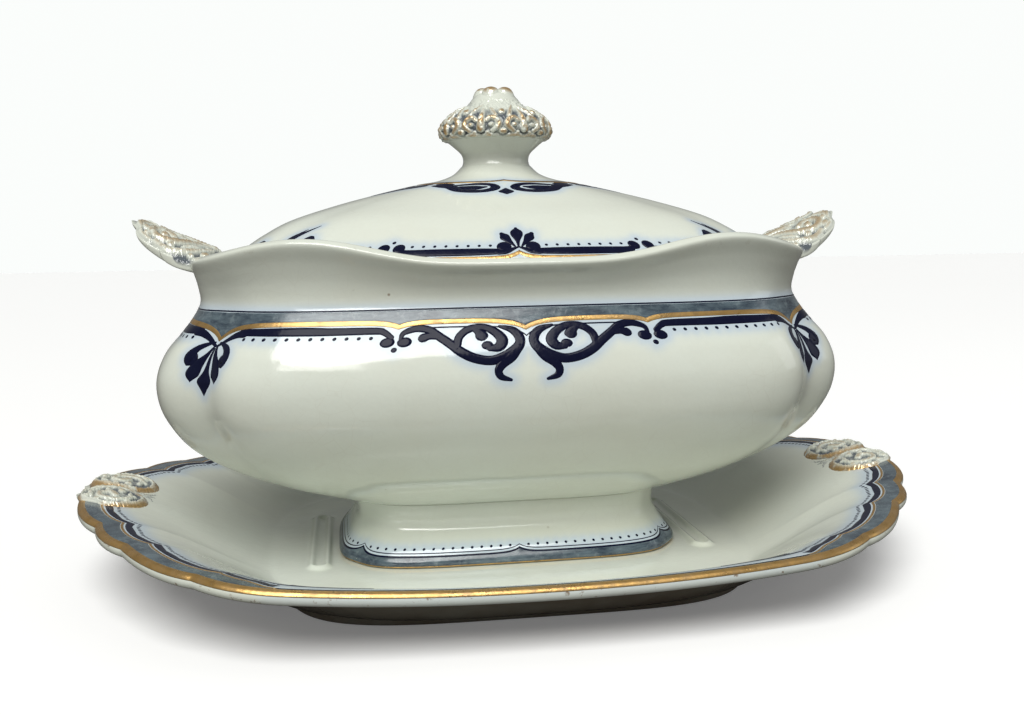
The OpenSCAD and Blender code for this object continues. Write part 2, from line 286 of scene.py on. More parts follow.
class Layer:
    """One thin coat of colour drawn on a track, a quarter at a time and mirrored to all four."""

    SIDE = np.array([-1.0, -0.93, -0.45, 0.45, 0.93, 1.0])   # across a stroke
    LIFT = np.array([-2.2, 0.55, 1.0, 1.0, 0.55, -2.2])       # height across a stroke

    def __init__(self, track, height):
        self.track = track
        self.height = height
        self.parts = []      # (points, faces, which faces are smooth)

    def add(self, x, y, h, faces):
        h = h.ravel()
        smooth = [all(h[i] > 0 for i in f) for f in faces]
        self.parts.append((self.track.place(x.ravel(), y.ravel(), h), faces, smooth))

    def add_strip(self, x, y, h, caps=(True, True)):
        """Grid of points with a flat cap on its first and its last row."""
        rows, cols = h.shape
        faces = loop_faces(rows, cols).tolist()
        if caps[0]:
            faces.append(list(range(cols)))
        if caps[1]:
            faces.append(list(range(rows * cols - 1, (rows - 1) * cols - 1, -1)))
        self.add(x, y, h, faces)

    def stroke(self, points, x0=0, y0=0, way=1):
        """Brush stroke with round ends through [x, y, width] points counted from (x0, y0);
        way -1 mirrors it about x0."""
        path = smooth_path([(x0 + way * x, y0 + y, w) for x, y, w in points])
        path[:, 2] *= BOLD
        tangent = unit(np.gradient(path[:, :2], axis=0))
        half = np.maximum(path[:, 2] / 2, 0.08)
        ends = np.radians([85, 60, 30])
        centre = np.vstack([path[0, :2] - tangent[0] * half[0] * np.sin(ends)[:, None],
                            path[:, :2],
                            path[-1, :2] + tangent[-1] * half[-1] * np.sin(ends[::-1])[:, None]])
        half = np.r_[half[0] * np.cos(ends), half, half[-1] * np.cos(ends[::-1])]
        tangent = np.vstack([tangent[:1]] * 3 + [tangent] + [tangent[-1:]] * 3)
        across = np.stack([-tangent[:, 1], tangent[:, 0]], -1)
        xy = centre[:, None] + across[:, None] * (half[:, None] * self.SIDE)[..., None]
        h = np.broadcast_to(self.LIFT * self.height, xy.shape[:2])
        self.add_strip(xy[..., 0], xy[..., 1], h)

    def dot(self, x, y, r, ry=None):
        """Round dot, or an oval one with its own half height ry."""
        ry = r if ry is None else ry
        a = np.arange(DOT_POINTS) * TAU / DOT_POINTS
        share = np.array([1.0, 0.93, 0.5])[:, None]
        lift = np.array([-2.2, 0.55, 1.0])[:, None]
        xs = x + r * share * np.cos(a)
        ys = y + ry * share * np.sin(a)
        h = self.height * lift + 0 * a
        faces = loop_faces(3, DOT_POINTS).tolist()
        rim = list(range(DOT_POINTS))
        faces += [rim[::-1], [2 * DOT_POINTS + i for i in rim]]
        self.add(xs, ys, h, faces)

    def band(self, x, y_near, y_far, rows=6):
        """Coat between two edges over stations x; an edge is a curve or one number."""
        s = np.r_[0, 0.03, np.linspace(0.12, 0.88, rows), 0.97, 1]
        lift = np.r_[-2.2, 0.5, np.ones(rows), 0.5, -2.2]
        y_near, y_far = y_near + 0 * x, y_far + 0 * x
        ys = y_near[:, None] + (y_far - y_near)[:, None] * s
        xs = np.repeat(x[:, None], len(s), 1)
        h = np.repeat(self.height * lift[None], len(x), 0)
        self.add_strip(xs, ys, h, (x[0] > 0, x[-1] < self.track.length))

    def points(self):
        """All points of the coat, in all four quarters."""
        quarter = np.vstack([part[0] for part in self.parts])
        return np.vstack([quarter * s for s in mirror_signs()])

    def build(self, name, material, extra=()):
        """One object from this coat and any extra ones, in all four quarters."""
        verts, faces, smooth, start = [], [], [], 0
        for layer in (self, *extra):
            for sign in mirror_signs():
                flip = sign[0] * sign[1] < 0
                for points, polygons, flags in layer.parts:
                    verts.append(points * sign)
                    faces += [[start + i for i in (f[::-1] if flip else f)] for f in polygons]
                    smooth += flags
                    start += len(points)
        return mesh_object(name, np.vstack(verts), faces, material, smooth=smooth)


def mirror_signs():
    return [np.array([sx, sy, 1.0]) for sx in (1, -1) for sy in (1, -1)]


def nearness(points, samples, reach):
    """1 at the printed strokes, fading to 0 over reach millimetres."""
    tree = KDTree(len(samples))
    for i, p in enumerate(samples):
        tree.insert(p, i)
    tree.balance()
    gap = np.array([tree.find(p)[2] for p in points])
    return np.exp(-(gap / reach) ** 2)


# ---------- node materials ----------
class Nodes:
    """Short-hand for building one material's node tree."""

    def __init__(self, name):
        self.material = bpy.data.materials.new(name)
        self.material.use_nodes = True
        self.tree = self.material.node_tree
        self.bsdf = self.tree.nodes["Principled BSDF"]
        self.coords = self.tree.nodes.new("ShaderNodeTexCoord").outputs["Object"]

    def add(self, kind, inputs=(), **settings):
        node = self.tree.nodes.new(kind)
        for key, value in settings.items():
            setattr(node, key, value)
        for key, value in dict(inputs).items():
            self.set(node.inputs[key], value)
        return node

    def set(self, socket, value):
        if isinstance(value, bpy.types.NodeSocket):
            self.tree.links.new(value, socket)
        elif isinstance(value, tuple) and len(value) == 3:
            socket.default_value = (*value, 1.0) if socket.type == "RGBA" else value
        else:
            socket.default_value = value

    def noise(self, per_m, detail, rough, stretch=(1, 1, 1)):
        mapping = self.add("ShaderNodeMapping", {"Vector": self.coords, "Scale": stretch})
        return self.add("ShaderNodeTexNoise", {
            "Vector": mapping.outputs[0], "Scale": per_m, "Detail": detail,
            "Roughness": rough}).outputs[0]

    def ramp(self, value, low, high, out_low=0.0, out_high=1.0):
        return self.add("ShaderNodeMapRange", {
            "Value": value, "From Min": low, "From Max": high, "To Min": out_low,
            "To Max": out_high}).outputs[0]

    def cells(self, per_m, feature="F1"):
        node = self.add("ShaderNodeTexVoronoi", {"Vector": self.coords, "Scale": per_m},
                        feature=feature)
        return node.outputs["Distance"]

    def mix(self, share, a, b):
        node = self.add("ShaderNodeMix", data_type="RGBA")
        self.set(node.inputs[0], share)
        self.set(node.inputs[6], a)
        self.set(node.inputs[7], b)
        return node.outputs[2]

    def cloud(self, per_m, detail, rough, low, high, out_low=0.0, out_high=1.0):
        """Noise with its values from low to high spread over the output's range."""
        return self.ramp(self.noise(per_m, detail, rough), low, high, out_low, out_high)

    def tint(self, colour, share, weight, other):
        """The colour, moved towards another by weight where share is 1."""
        return self.mix(self.math("MULTIPLY", share, weight), colour, other)

    def math(self, operation, a, b):
        return self.add("ShaderNodeMath", {0: a, 1: b}, operation=operation).outputs[0]

    def attribute(self, name):
        return self.add("ShaderNodeAttribute", attribute_name=name).outputs["Fac"]

    def bump(self, height, strength, distance):
        node = self.add("ShaderNodeBump", {
            "Height": height, "Strength": strength, "Distance": distance})
        self.set(self.bsdf.inputs["Normal"], node.outputs[0])

    def finish(self, colour, roughness, **more):
        self.set(self.bsdf.inputs["Base Color"], colour)
        self.set(self.bsdf.inputs["Roughness"], roughness)
        for key, value in more.items():
            self.set(self.bsdf.inputs[key.replace("_", " ")], value)
        return self.material


IVORY = (0.725, 0.765, 0.685)
IVORY_WARM = (0.69, 0.70, 0.60)
GRAIN = (0.60, 0.62, 0.56)
CRAZE = (0.42, 0.36, 0.26)
STAIN = (0.20, 0.12, 0.055)
# warm brown painted shade for the underside of the dish and its foot ring
UNDERSIDE_SHADE = (0.20, 0.125, 0.075)
HALO_BLUE = (0.40, 0.53, 0.72)
HOLLOW_BLUE = (0.045, 0.060, 0.085)
RUBBED_GILT = (0.50, 0.30, 0.10)
INK = (0.004, 0.005, 0.022)
INK_WORN = (0.006, 0.008, 0.026)
INK_THIN = (0.05, 0.07, 0.13)
WASH_DARK = (0.018, 0.030, 0.050)
WASH_LIGHT = (0.125, 0.17, 0.195)
WASH_PALE = (0.27, 0.33, 0.35)
GOLD = (0.60, 0.37, 0.13)
GOLD_WORN = (0.36, 0.23, 0.10)
GOLD_BARE = (0.55, 0.50, 0.38)


def glaze_colour(n):
    """Ivory glaze: cloudy warm patches, fine grain, faint crazing and a few specks."""
    colour = n.tint(IVORY, n.cloud(22, 5, 0.6, 0.35, 0.75), 0.75, IVORY_WARM)
    colour = n.tint(colour, n.cloud(900, 2, 0.5, 0.30, 0.70), 0.10, GRAIN)
    cracks = n.ramp(n.cells(210, "DISTANCE_TO_EDGE"), 0.0, 0.022, 1.0, 0.0)
    cracks = n.math("MULTIPLY", cracks, n.cloud(30, 3, 0.5, 0.48, 0.66))
    colour = n.tint(colour, cracks, 0.10, CRAZE)
    specks = n.ramp(n.cells(95), 0.035, 0.055, 1.0, 0.0)
    specks = n.math("MULTIPLY", specks, n.cloud(48, 2, 0.5, 0.60, 0.64))
    return n.tint(colour, specks, 0.75, STAIN)


def glaze_surface(n):
    """Slightly uneven glassy skin; gives its roughness."""
    fine = n.math("MULTIPLY", n.noise(650, 2, 0.5), 0.12)
    n.bump(n.math("ADD", n.noise(60, 2, 0.5), fine), 0.22, 0.0012)
    return n.cloud(75, 5, 0.6, 0.3, 0.75, 0.07, 0.20)


def glaze_material():
    """Plain glaze, blue by the print, stained where the edge is worn, with brown shade painted
    underneath.
    """
    n = Nodes("glaze")
    colour = n.tint(glaze_colour(n), n.attribute("halo"), 0.55, HALO_BLUE)
    worn = n.math("MULTIPLY", n.attribute("worn"), n.cloud(330, 4, 0.7, 0.61, 0.68))
    colour = n.tint(colour, worn, 0.85, STAIN)
    # painted shade: the underside and the foot ring are darkened towards brown, as if in shadow
    underside_shade = n.cloud(40, 4, 0.6, 0.2, 0.7, 0.5, 0.9)
    colour = n.mix(n.math("MULTIPLY", n.attribute("underside_shade"), underside_shade), colour, UNDERSIDE_SHADE)
    rough = n.math("ADD", glaze_surface(n), n.math("MULTIPLY", worn, 0.35))
    return n.finish(colour, rough, Coat_Weight=0.35, Coat_Roughness=0.04, IOR=1.52)


def relief_material():
    """Moulded relief: gilt on the high edges, blue-grey wash in the hollows."""
    n = Nodes("relief_glaze")
    hollow = n.math("MULTIPLY", n.attribute("hollow"), n.cloud(170, 4, 0.6, 0.28, 0.52))
    colour = n.tint(glaze_colour(n), hollow, 0.92, HOLLOW_BLUE)
    gilt = n.math("MULTIPLY", n.attribute("gilt"), n.cloud(230, 3, 0.6, 0.36, 0.48))
    colour = n.tint(colour, gilt, 0.9, RUBBED_GILT)
    rough = n.math("ADD", glaze_surface(n), n.math("MULTIPLY", gilt, 0.16))
    return n.finish(colour, rough, Metallic=n.math("MULTIPLY", gilt, 0.55),
                    Coat_Weight=0.3, Coat_Roughness=0.06)


def ink_material():
    """Nearly black cobalt print, a little thin in places."""
    n = Nodes("cobalt_print")
    colour = n.mix(n.cloud(240, 5, 0.65, 0.36, 0.68), INK, INK_WORN)
    colour = n.tint(colour, n.cloud(900, 3, 0.7, 0.60, 0.74), 0.12, INK_THIN)
    n.bump(n.noise(700, 2, 0.5), 0.12, 0.0004)
    return n.finish(colour, n.cloud(90, 4, 0.6, 0.3, 0.7, 0.10, 0.22),
                    Specular_IOR_Level=0.12, Coat_Weight=0.03, Coat_Roughness=0.06)


def wash_material():
    """Streaky blue-grey wash."""
    n = Nodes("blue_wash")
    streaks = n.ramp(n.noise(120, 6, 0.68, (1, 1, 4)), 0.33, 0.68)
    colour = n.mix(streaks, WASH_DARK, WASH_LIGHT)
    colour = n.tint(colour, n.cloud(420, 4, 0.7, 0.52, 0.70), 0.35, WASH_PALE)
    n.bump(n.noise(500, 3, 0.6), 0.12, 0.0004)
    return n.finish(colour, n.cloud(80, 4, 0.6, 0.3, 0.7, 0.12, 0.26),
                    Coat_Weight=0.3, Coat_Roughness=0.06)


def gold_material():
    """Soft rubbed gilding, bare in specks."""
    n = Nodes("gilding")
    rubbed = n.cloud(330, 5, 0.7, 0.42, 0.66)
    colour = n.mix(rubbed, GOLD, GOLD_WORN)
    colour = n.tint(colour, n.cloud(1100, 3, 0.7, 0.66, 0.76), 0.6, GOLD_BARE)
    n.bump(n.noise(1400, 3, 0.6), 0.18, 0.0003)
    return n.finish(colour, n.cloud(210, 4, 0.6, 0.3, 0.7, 0.22, 0.42),
                    Metallic=n.ramp(rubbed, 0.0, 1.0, 0.9, 0.5))


GLAZE = glaze_material()
RELIEF = relief_material()
PRINT = ink_material()
WASH = wash_material()
GILDING = gold_material()


def settle(piece, body, slot, *nodes):
    """The piece rides a body and stands for any named CAD nodes; slot is not used."""
    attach(piece, body)
    if nodes:
        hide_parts(*nodes)


def settle_coats(name, body, ink, wash, gold):
    """The wash, print and gilding of one part ride its body."""
    settle(wash.build(name + "_wash", WASH), body, "blue_wash")
    settle(ink.build(name + "_print", PRINT), body, "cobalt_print")
    settle(gold.build(name + "_gilding", GILDING), body, "gilding")


# ---------- tureen bowl ----------
BOWL_PROFILE = [
    (WAIST_Z, 0.455, 0.500, 0.0), (24, 0.551, 0.585, 0.0), (28, 0.697, 0.705, 0.1),
    (33, 0.825, 0.820, 0.4), (39, 0.920, 0.905, 0.8), (46, 0.975, 0.970, 1.0),
    (52, 0.998, 0.997, 1.0), (58, 0.998, 0.998, 1.0), (64, 0.972, 0.968, 0.9),
    (69, 0.928, 0.922, 0.7), (73, 0.895, 0.885, 0.4), (77, 0.874, 0.855, 0.2),
    (81, 0.877, 0.862, 0.1), (85, 0.886, 0.895, 0.0), (LIP_Z, RIM_SHARE, RIM_DEPTH_SHARE, 0.0)]
BLEND_Z = 30               # up to here the plan turns from the foot's into the bowl's
NECK_Z = 77                # narrowest part of the neck, where the rim's wave starts


def bowl_stations():
    rows = []
    for z, a, b, pinch in BOWL_PROFILE:
        square = SQUARE
        if z < BLEND_Z:
            square = FOOT_SQUARE - (FOOT_SQUARE - SQUARE) * (z - WAIST_Z) / (BLEND_Z - WAIST_Z)
        rise = max(0.0, (z - NECK_Z) / (LIP_Z - NECK_Z))
        rows.append([z, a * BOWL_A, b * BOWL_B, square, pinch * CORNER_PINCH, rise])
    return rows


def bowl_skin():
    """Outer wall, thick rolled lip, ledge for the lid, and inner wall down to the floor."""
    outer = bowl_stations()
    lip_a, lip_b = RIM_SHARE * BOWL_A, RIM_DEPTH_SHARE * BOWL_B
    lip = [[RIM_Z - down, lip_a - inset, lip_b - inset, SQUARE, 0, rise]
           for down, inset, rise in ((0.25, 0.9, 1), (0, 2.2, 1), (0.9, 4.0, 0.95), (2.6, 5.2, 0.8))]
    lip += [[LEDGE_Z + 1.0, LID_A + 1.4, LID_B + 1.2, SQUARE, 0, 0.1],
            [LEDGE_Z, LID_A + 0.4, LID_B + 0.2, SQUARE, 0, 0]]
    lip += [[LEDGE_Z - down, LID_A - inset, LID_B - inset, SQUARE, 0, 0]
            for down, inset in ((0, 4.5), (0.8, 5.0), (2.0, 4.6))]
    shell = inward(outer, BOWL_WALL)
    inner = [s for s in shell if s[0] < 79 and s[1] > 0.42 * BOWL_A][::-1]
    floor_z = inner[-1][0]
    inner += [[floor_z - 0.5, 0.30 * BOWL_A, 0.32 * BOWL_B, 2.6, 0, 0],
              [floor_z - 0.6, 0.05 * BOWL_A, 0.07 * BOWL_B, 2.2, 0, 0]]
    steps = [8] * len(outer) + [5] * (len(lip) + len(inner) - 1)
    return Sweep(outer), Sweep(outer + lip + inner), steps


bowl_wall, bowl_full, bowl_steps = bowl_skin()
BOWL_LINE = 9.80           # station of the gold line on the shoulder
bowl_track = Track(bowl_wall, BOWL_LINE, 4.0, 13.6, 1)


def cusp(x, centre, depth, width):
    """Pointed dip of a border line."""
    return depth * np.exp(-np.abs(x - centre) / width)


def bowl_gold_line(x, corner, end):
    return (cusp(x, 0, 2.3, 3.6) + cusp(x, 31, 1.3, 2.6) + cusp(x, corner, 4.6, 4.2)
            + cusp(x, end, 1.6, 3.0) - 0.3)


def scroll_half(layer, x0, way):
    """Large C-scroll with a spiral bud and a hooked tail; way mirrors it about x0."""
    strokes = [
        [(30.0, 4.2, 0.8), (29.5, 2.6, 1.3), (26.6, 1.5, 1.7), (23.5, 2.0, 1.8), (21.0, 3.8, 1.9),
         (18.0, 6.1, 2.0), (15.3, 8.4, 2.1), (12.2, 10.1, 2.1), (8.6, 10.8, 2.1), (5.5, 9.9, 2.3),
         (2.9, 8.1, 2.4), (1.7, 6.2, 2.1), (1.9, 4.3, 2.1), (3.5, 2.5, 1.7), (6.5, 1.5, 0.7)],
        [(2.4, 7.6, 2.2), (4.0, 9.9, 2.4), (6.0, 11.8, 2.0), (6.9, 13.5, 1.6), (6.3, 15.0, 1.4),
         (4.2, 15.8, 0.7)],
        [(16.5, 6.6, 1.7), (16.1, 4.0, 1.8), (13.9, 2.0, 1.8), (10.5, 1.6, 1.7), (7.6, 3.0, 2.0),
         (5.9, 5.3, 2.4), (6.7, 7.2, 2.3), (8.7, 7.6, 1.4)],
        [(12.9, 1.9, 1.2), (11.6, 2.8, 1.9), (10.9, 3.9, 2.6)],
        [(24.6, 4.1, 2.2), (23.3, 3.7, 1.7), (21.6, 3.9, 1.4)]]
    for points in strokes:
        layer.stroke(points, x0, 0, way)
    for x, y, r, ry in ((9.4, 6.7, 1.5, 1.3), (10.8, 4.0, 1.7, 1.4), (28.9, 5.2, 1.85, 1.5)):
        layer.dot(x0 + way * x, y, r, ry)


def corner_fan(layer, x0, y0):
    """Fan of long drops under a corner cusp, with a lozenge tip and a curled bud either side."""
    layer.stroke([(0, 1.4, 0.5), (0, 4.5, 0.9), (0, 7.4, 1.6), (0, 10.0, 4.0), (0, 12.0, 2.0),
                  (0, 13.6, 0.2)], x0, y0)
    for way in (-1, 1):
        layer.stroke([(0.5, 0.8, 0.5), (1.4, 3.2, 1.2), (2.9, 5.8, 2.5), (3.9, 8.4, 3.0),
                      (4.1, 10.2, 0.3)], x0, y0, way)
        layer.stroke([(0.9, -0.4, 0.5), (2.8, 0.2, 1.1), (4.9, 1.4, 1.8), (6.0, 3.4, 2.4),
                      (5.2, 5.2, 2.2), (4.4, 4.4, 1.4)], x0, y0, way)
        layer.dot(x0 + 5.2 * way, y0 + 4.4, 1.7, 1.9)
        layer.stroke([(8.5, -3.3, 1.9), (6.2, -2.9, 1.7), (3.6, -1.6, 1.2), (0.3, 0.6, 0.7)],
                     x0, y0, way)


def bead_row(layer, x_from, x_to, y, pitch=2.75, radius=0.5):
    for x in np.linspace(x_from, x_to, int((x_to - x_from) / pitch) + 1):
        layer.dot(x, y, radius)


def bowl_decoration():
    """Gold line under a washed neck band, with scrolls, dots and corner fans below it."""
    track = bowl_track
    corner, end = track.corner, track.length
    x = np.linspace(0, end, 460)
    line = bowl_gold_line(x, corner, end)
    gold = Layer(track, GOLD_COAT)
    gold.band(x, line - 0.72, line + 0.72, 3)
    wash = Layer(track, WASH_COAT)
    neck = -3.7
    wash.band(x, neck + 0.2, line - 0.45, 9)
    ink = Layer(track, INK_COAT)
    ink.band(x, neck - 0.25, neck + 0.2, 2)
    thin_from = np.linspace(0, 29.5, 160)
    thin = bowl_gold_line(thin_from, corner, end) + 1.55
    thin = thin + cusp(thin_from, 0, 0.7, 1.8)
    ink.band(thin_from, thin - 0.22, thin + 0.22, 2)
    scroll_half(ink, 0, 1)
    ink.stroke([(corner - 7.4, 1.95, 1.7), (corner - 22, 1.8, 2.1), (corner - 30, 1.9, 1.9),
                (36.5, 1.9, 1.7), (34.2, 2.4, 1.4), (32.3, 3.8, 1.2)])
    ink.dot(32.9, 5.2, 1.85, 1.5)
    ink.dot(30.9, 7.3, 0.75)
    bead_row(ink, 37.0, corner - 9.0, 3.9)
    corner_fan(ink, corner, 5.6)
    ink.stroke([(corner + 7.4, 1.95, 1.7), (corner + 16, 1.8, 2.1), (end - 6.5, 1.9, 1.8),
                (end - 3.6, 2.6, 1.4), (end - 1.9, 4.2, 1.1)])
    ink.dot(end - 2.1, 5.6, 1.7, 1.5)
    ink.dot(end, 7.9, 0.75)
    bead_row(ink, corner + 9.0, end - 5.6, 3.9)
    return ink, wash, gold


# ---------- tureen foot ----------
def foot_stations():
    """Hollow and outer wall of the pedestal foot."""
    rest = foot_low[2]
    top = foot_high[2]
    top_a, top_b = BOWL_PROFILE[0][1] * BOWL_A, BOWL_PROFILE[0][2] * BOWL_B
    base_a, base_b = foot_high[0], foot_high[1]

    def row(z, a, b):
        return [z, a, b, FOOT_SQUARE, 0.02, 0]
    outer = [row(rest, base_a - 1.2, base_b - 1.2), row(rest + 0.5, base_a - 0.15, base_b - 0.15),
             row(rest + 1.6, base_a - 0.1, base_b - 0.1), row(rest + 3.0, base_a - 1.0, base_b - 0.9),
             row(rest + 5.2, base_a - 2.7, base_b - 2.4), row(rest + 8.0, top_a + 0.7, top_b + 0.9),
             row(rest + 11, top_a - 0.6, top_b - 0.1), row(top, top_a, top_b)]
    inner = [row(top - 4, top_a - 14, top_b - 14), row(top - 4, top_a - 5.5, top_b - 5.5),
             row(rest + 4.9, top_a - 3.0, top_b - 3.0), row(rest, base_a - 4.5, base_b - 4.5)]
    return inner, outer


foot_inner, foot_outer = foot_stations()
foot_wall = Sweep(foot_outer)
foot_full = Sweep(foot_inner + foot_outer)


def foot_decoration():
    """Gilt foot edge, wash, a double line and dots."""
    track = Track(foot_wall, 2.35, 0.4, 6.5, -1)
    corner, end = track.corner, track.length
    x = np.linspace(0, end, 260)
    line = cusp(x, 0, 1.4, 2.0) + cusp(x, corner, 1.8, 2.0) + 1.3
    wash = Layer(track, WASH_COAT)
    wash.band(x, -1.5, line - 0.1, 6)
    ink = Layer(track, INK_COAT)
    ink.band(x, line - 0.32, line + 0.22, 2)
    upper = line + 0.85
    ink.band(x, upper - 0.14, upper + 0.14, 2)
    for start, stop in ((2.6, corner - 3), (corner + 3, end - 1.3)):
        bead_row(ink, start, stop, 3.35, 2.6, 0.42)
    gold = Layer(track, GOLD_COAT)
    gold.band(x, -2.5, -1.4, 3)
    return ink, wash, gold


# ---------- lid ----------
LID_PROFILE = [
    (0.00, 0.992, 0.990), (0.05, 1.000, 1.000), (0.13, 0.975, 0.970), (0.23, 0.930, 0.915),
    (0.355, 0.860, 0.830), (0.49, 0.763, 0.725), (0.63, 0.600, 0.570), (0.74, 0.440, 0.450),
    (0.815, 0.315, 0.385), (0.86, 0.225, 0.335), (0.92, 0.165, 0.277), (1.00, 0.1316, 0.2381)]


def lid_stations():
    """Outer dome, and the whole lid with its hollow and the flange that drops into the bowl."""
    seat = LEDGE_Z + 0.05
    rows = []
    for rise, a, b in LID_PROFILE:
        square = 2.0 + (SQUARE - 2.0) * min(1, 1.6 * (1 - rise))
        rows.append([seat + (KNOB_SEAT_Z - seat) * rise, a * LID_A, b * LID_B, square,
                     CORNER_PINCH * (1 - rise) * 0.75, 0])
    shell = inward(rows, LID_WALL)
    flange_a, flange_b = LID_A - 6.2, LID_B - 6.2
    inner = [s for s in shell if 0.22 * LID_A < s[1] < flange_a - 3.2][::-1]
    inner = [[inner[0][0] + 0.3, 2.0, 2.0, 2.0, 0, 0]] + inner
    flange = [[z, flange_a - inset, flange_b - inset, SQUARE, 0, 0]
              for z, inset in ((LEDGE_Z, 3.0), (LEDGE_Z - 3.5, 2.7), (LEDGE_Z - 4, 1.6),
                               (LEDGE_Z - 3.5, 0.5), (seat, 0))]
    under = inner + flange
    return Sweep(rows), Sweep(under + rows), [4] * len(under) + [10] * (len(rows) - 1)


lid_wall, lid_full, lid_steps = lid_stations()


def lid_gold_line(x, corner, end):
    return (cusp(x, 0, 2.0, 2.4) + cusp(x, 33.6, 0.9, 1.6) + cusp(x, corner, 3.0, 2.6)
            + cusp(x, end, 1.4, 2.2))


def palmette(layer, x0, y0):
    """Small upright palmette: three broad petals between two round buds."""
    layer.stroke([(0, 1.2, 0.5), (0, 3.2, 1.1), (0, 5.6, 3.0), (0, 7.2, 2.8), (0, 8.3, 0.9)],
                 x0, y0)
    for way in (-1, 1):
        layer.stroke([(1.0, 1.3, 0.5), (2.2, 3.0, 1.3), (3.5, 4.8, 2.5), (4.3, 6.0, 1.2)],
                     x0, y0, way)
        layer.dot(x0 + 3.9 * way, y0 + 1.1, 2.15, 2.0)
        layer.stroke([(5.4, -0.6, 1.8), (3.3, -0.4, 1.6), (1.4, 0.4, 0.9), (0.1, 1.0, 0.5)],
                     x0, y0, way)


def lid_border():
    """Gold edge and printed border of the lid, with palmettes and corner sprays."""
    track = Track(lid_wall, 1.75, 0.3, 10.6, -1)
    corner, end = track.corner, track.length
    x = np.linspace(0, end, 420)
    line = lid_gold_line(x, corner, end)
    gold = Layer(track, GOLD_COAT)
    gold.band(x, line - 0.75, line + 0.65, 3)
    ink = Layer(track, INK_COAT)
    palmette(ink, 0, 2.7)
    peak = corner - 8.5
    ink.stroke([(4.6, 2.2, 1.7), (12, 2.15, 2.1), (22, 2.1, 2.1), (29.0, 2.1, 1.9),
                (31.0, 2.9, 1.3)])
    ink.dot(31.6, 3.7, 1.7)
    ink.dot(35.6, 3.7, 1.7)
    ink.dot(33.6, 5.9, 0.55)
    ink.stroke([(36.2, 2.9, 1.3), (38.5, 2.1, 1.9), (peak - 7, 2.4, 2.2), (peak - 3.4, 4.4, 2.2),
                (peak - 1.0, 7.2, 2.0), (peak + 0.2, 8.6, 1.4), (peak + 1.3, 6.6, 1.9),
                (peak + 2.2, 4.0, 2.0), (peak + 4.2, 2.5, 1.9), (corner - 1.4, 2.6, 1.1)])
    ink.dot(peak + 4.6, 5.0, 1.55)
    ink.stroke([(peak + 6.4, 3.0, 1.0), (peak + 5.9, 4.4, 1.2), (peak + 4.9, 5.3, 1.0)])
    for lean, reach, width in ((-0.5, 9.0, 1.7), (-2.6, 12.0, 2.1), (-5.6, 13.5, 1.6)):
        ink.stroke([(corner - 0.7 + 0.08 * lean, 4.4, 0.6),
                    (corner - 0.8 + 0.30 * lean, 4.4 + 0.45 * (reach - 4.4), width),
                    (corner - 0.8 + lean, reach, 0.3)])
    ink.stroke([(corner + 1.4, 2.6, 1.1), (corner + 4.6, 2.4, 2.0), (corner + 7.0, 4.4, 2.1),
                (corner + 8.2, 7.0, 1.4), (corner + 9.6, 4.6, 2.0), (corner + 12.6, 2.3, 2.1),
                (end - 4.6, 2.2, 1.7)])
    palmette(ink, end, 2.7)
    for start, stop in ((7.6, 28.3), (39.5, peak - 8.0), (corner + 15.2, end - 7.4)):
        bead_row(ink, start, stop, 4.3, 2.65, 0.46)
    return ink, gold


def lid_crown():
    """Line round the foot of the knob with a pair of eye-shaped scrolls front and back."""
    track = Track(lid_wall, 8.15, 5.5, 10.9, 1)
    x = np.linspace(0, track.length, 220)
    line = -cusp(x, 0, 1.8, 3.4) - cusp(x, track.length, 1.4, 3.0)
    gold = Layer(track, GOLD_COAT)
    gold.band(x, line - 0.1, line + 0.75, 3)
    ink = Layer(track, INK_COAT)
    ink.band(x, line - 0.6, line - 0.15, 2)
    for start in (0.0, track.length):
        way = 1 if start == 0 else -1
        reach = 0.95 if start == 0 else 0.70

        def eye(*points):
            ink.stroke([(start + way * reach * px, 1.65 * py, 1.6 * w) for px, py, w in points])
        eye((17.5, 1.4, 0.5), (14.6, 1.7, 1.1), (12.0, 2.3, 1.1), (8.6, 3.9, 1.2), (5.2, 4.3, 1.2),
            (2.8, 3.5, 1.2), (2.2, 2.3, 1.1), (3.6, 1.3, 1.0), (7.0, 1.0, 0.9), (12.0, 1.6, 0.6))
        eye((4.6, 2.4, 0.7), (6.2, 2.7, 1.6), (8.2, 2.6, 1.4), (10.0, 2.3, 0.6))
        eye((13.2, 1.2, 0.6), (15.8, 0.9, 1.2), (18.0, 0.7, 0.3))
        ink.stroke([(start, 5.2, 0.5), (start, 7.4, 2.4), (start, 9.4, 0.4)])
    return ink, gold


# ---------- moulded relief ----------
def relief_height(p, q, marks):
    """Height of rounded ridges at flat points (p, q). A mark is a path of [p, q, width]."""
    top = np.zeros(p.shape)
    for mark in marks:
        path = smooth_path(mark, 0.5)
        half = np.maximum(path[:, 2] / 2, 0.2)
        gap = (p[..., None] - path[:, 0]) ** 2 + (q[..., None] - path[:, 1]) ** 2
        ridge = np.sqrt(np.maximum(0, 1 - gap / half ** 2)) * half ** 0.7
        top = np.maximum(top, ridge.max(-1))
    return top


def bead(p, q, r):
    return [(p - 0.05, q, 2 * r), (p, q, 2 * r), (p + 0.05, q, 2 * r)]


def crumble(p, q):
    """Fine even lumps that casting slip leaves between the scrolls."""
    return (np.sin(2.1 * p + 0.7 * np.sin(1.3 * q)) * np.sin(1.9 * q + 1.1 * np.sin(1.7 * p))
            + 0.5 * np.sin(4.3 * p + 1.0) * np.sin(3.7 * q + 2.0))


